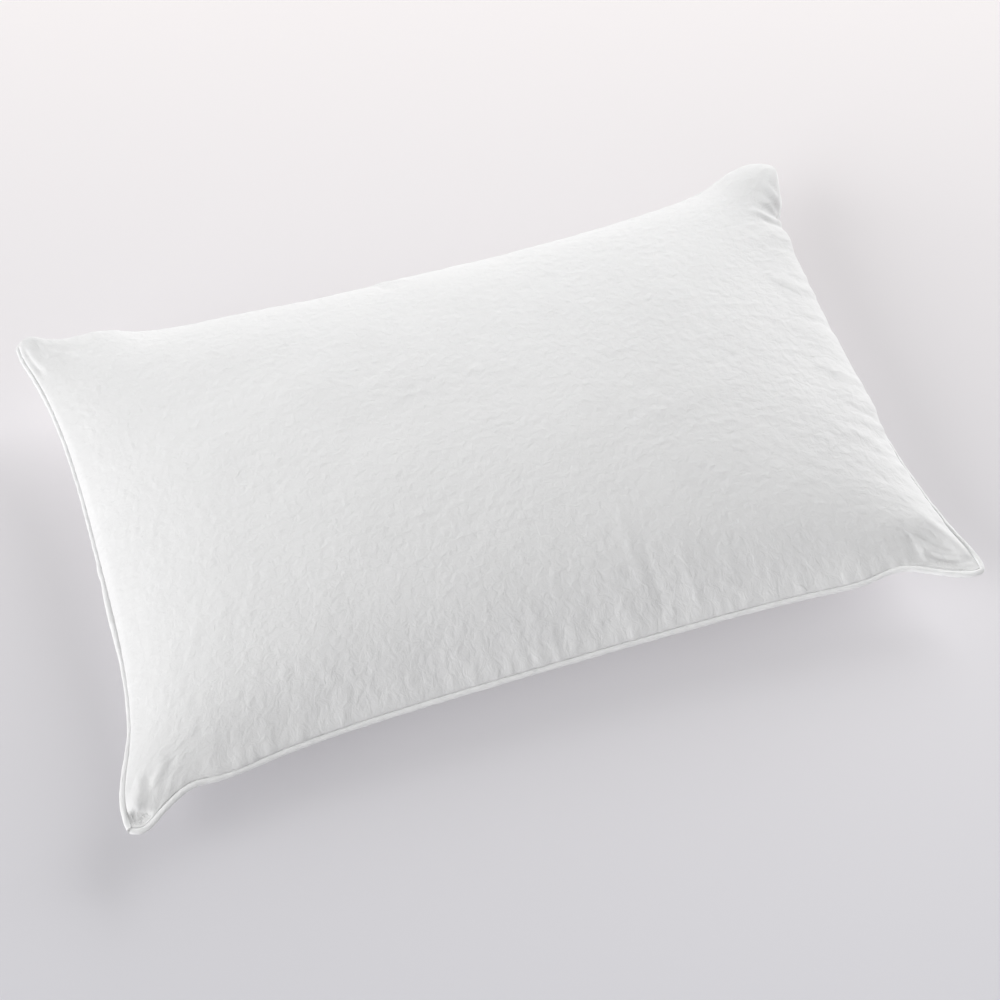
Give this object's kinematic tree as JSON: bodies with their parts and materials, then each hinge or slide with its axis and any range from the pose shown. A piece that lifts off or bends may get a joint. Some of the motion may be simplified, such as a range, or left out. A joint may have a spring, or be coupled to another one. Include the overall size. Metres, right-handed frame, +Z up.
{
  "type": "bed pillow",
  "caption": "Plump rectangular bed pillow in plain white cotton with a narrow corded edge, lying flat.",
  "frame": {"origin": "under the middle of the pillow, on the surface it lies on", "axes": "+X along the long side, +Y across towards the back, +Z up"},
  "size_m": [0.7386, 0.495, 0.1401],
  "materials": {
    "ticking": "tightly woven white down-proof cotton, matt with a faint sheen",
    "piping": "the same white cotton, cut on the bias and folded round a cord",
    "cord": "soft twisted cotton cord, undyed",
    "thread": "white polyester sewing thread, slight sheen",
    "down": "loose white down and small feathers"
  },
  "bodies": {
    "root": {"top_panel": "ticking", "bottom_panel": "ticking", "piping_strip": "piping", "piping_cord": "cord", "seam_needle_thread": "thread", "seam_bobbin_thread": "thread", "overlock_thread": "thread", "closing_thread": "thread", "filling": "down"}
  },
  "joints": []
}
